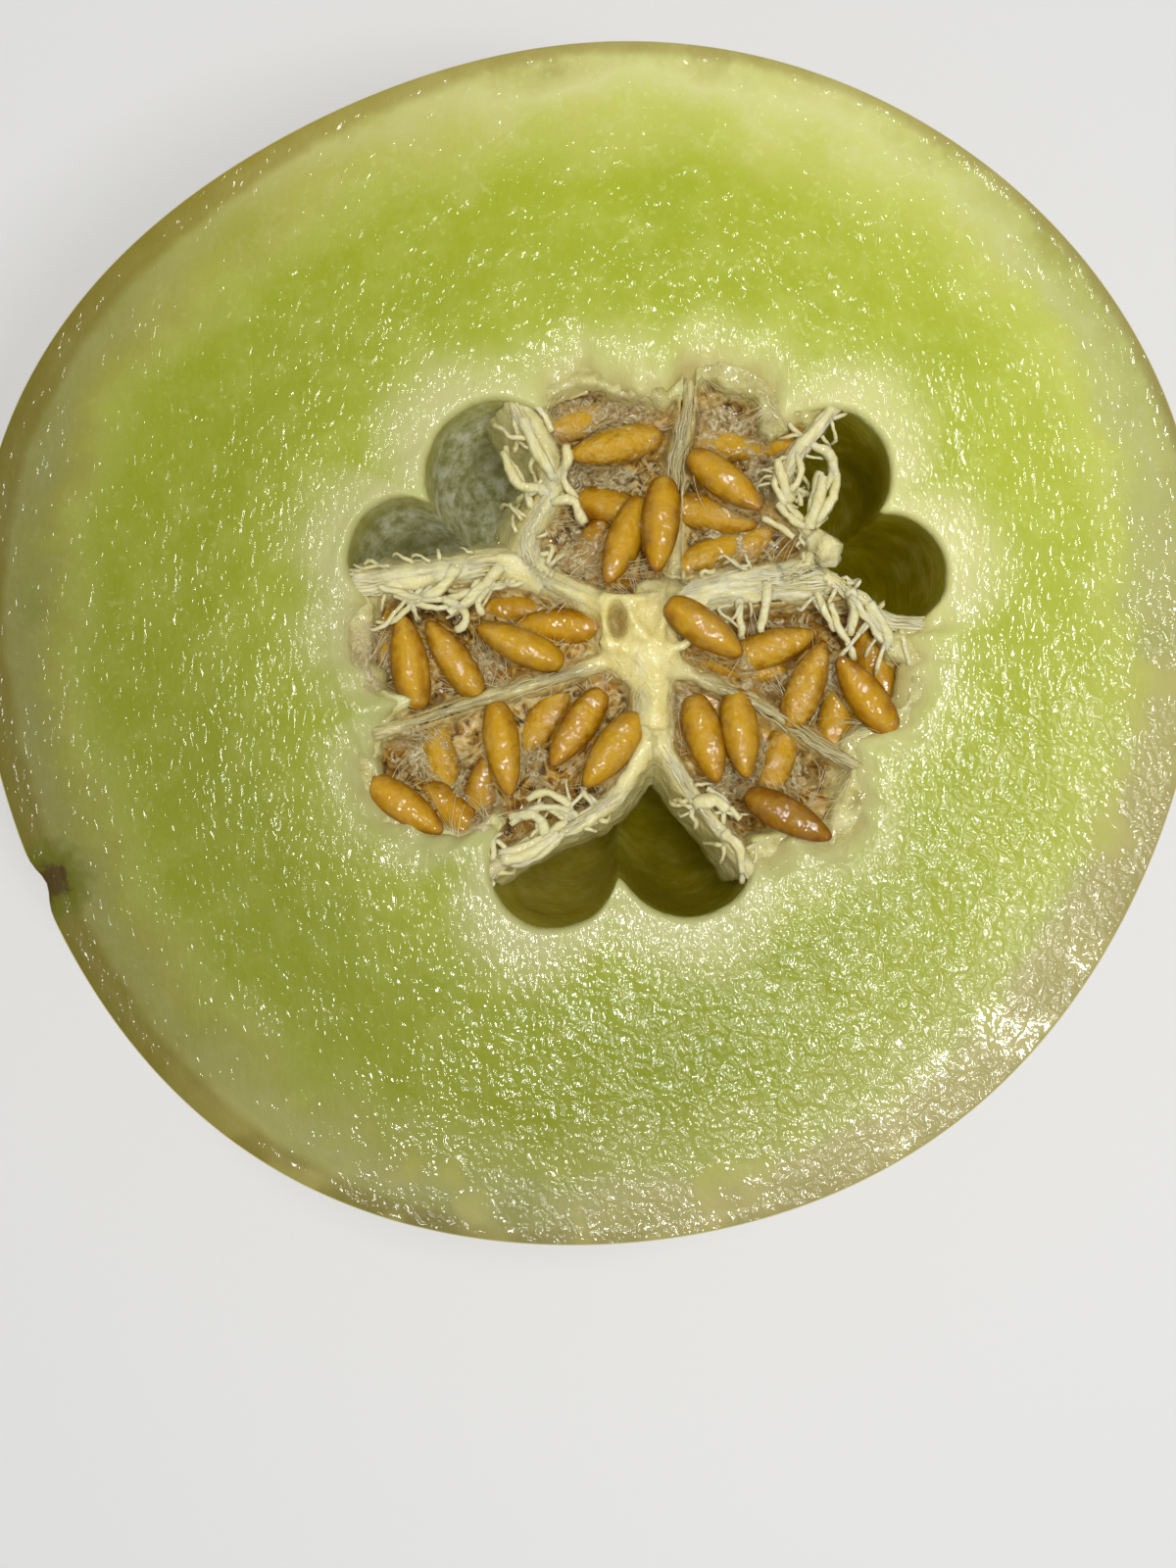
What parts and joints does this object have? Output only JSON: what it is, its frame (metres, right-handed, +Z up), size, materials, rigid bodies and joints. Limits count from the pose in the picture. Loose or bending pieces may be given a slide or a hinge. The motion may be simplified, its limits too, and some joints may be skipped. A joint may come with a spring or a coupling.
{
  "type": "honeydew melon half",
  "caption": "Half a honeydew melon, cut across and lying on its rind, with a scalloped hollow that holds pale seed tissue and rows of amber seeds.",
  "frame": {"origin": "middle of the small flat spot that the half rests on", "axes": "+Z up, from the resting spot to the cut face; +X and +Y lie along the cut face"},
  "size_m": [0.1525, 0.1495, 0.082],
  "materials": {
    "melon_flesh": "moist green flesh, paler by the rind and by the hollow, with a smooth cream rind",
    "seed_tissue": "wet cream tissue",
    "seed_coat": "glossy amber seed coats in clear wet pulp"
  },
  "bodies": {
    "root": {"melon_half": "melon_flesh", "placenta": "seed_tissue", "seeds_top_left": "seed_coat", "seeds_top_right": "seed_coat", "seeds_left_upper": "seed_coat", "seeds_left_lower": "seed_coat", "seeds_right_upper": "seed_coat", "seeds_right_lower": "seed_coat"}
  },
  "joints": []
}
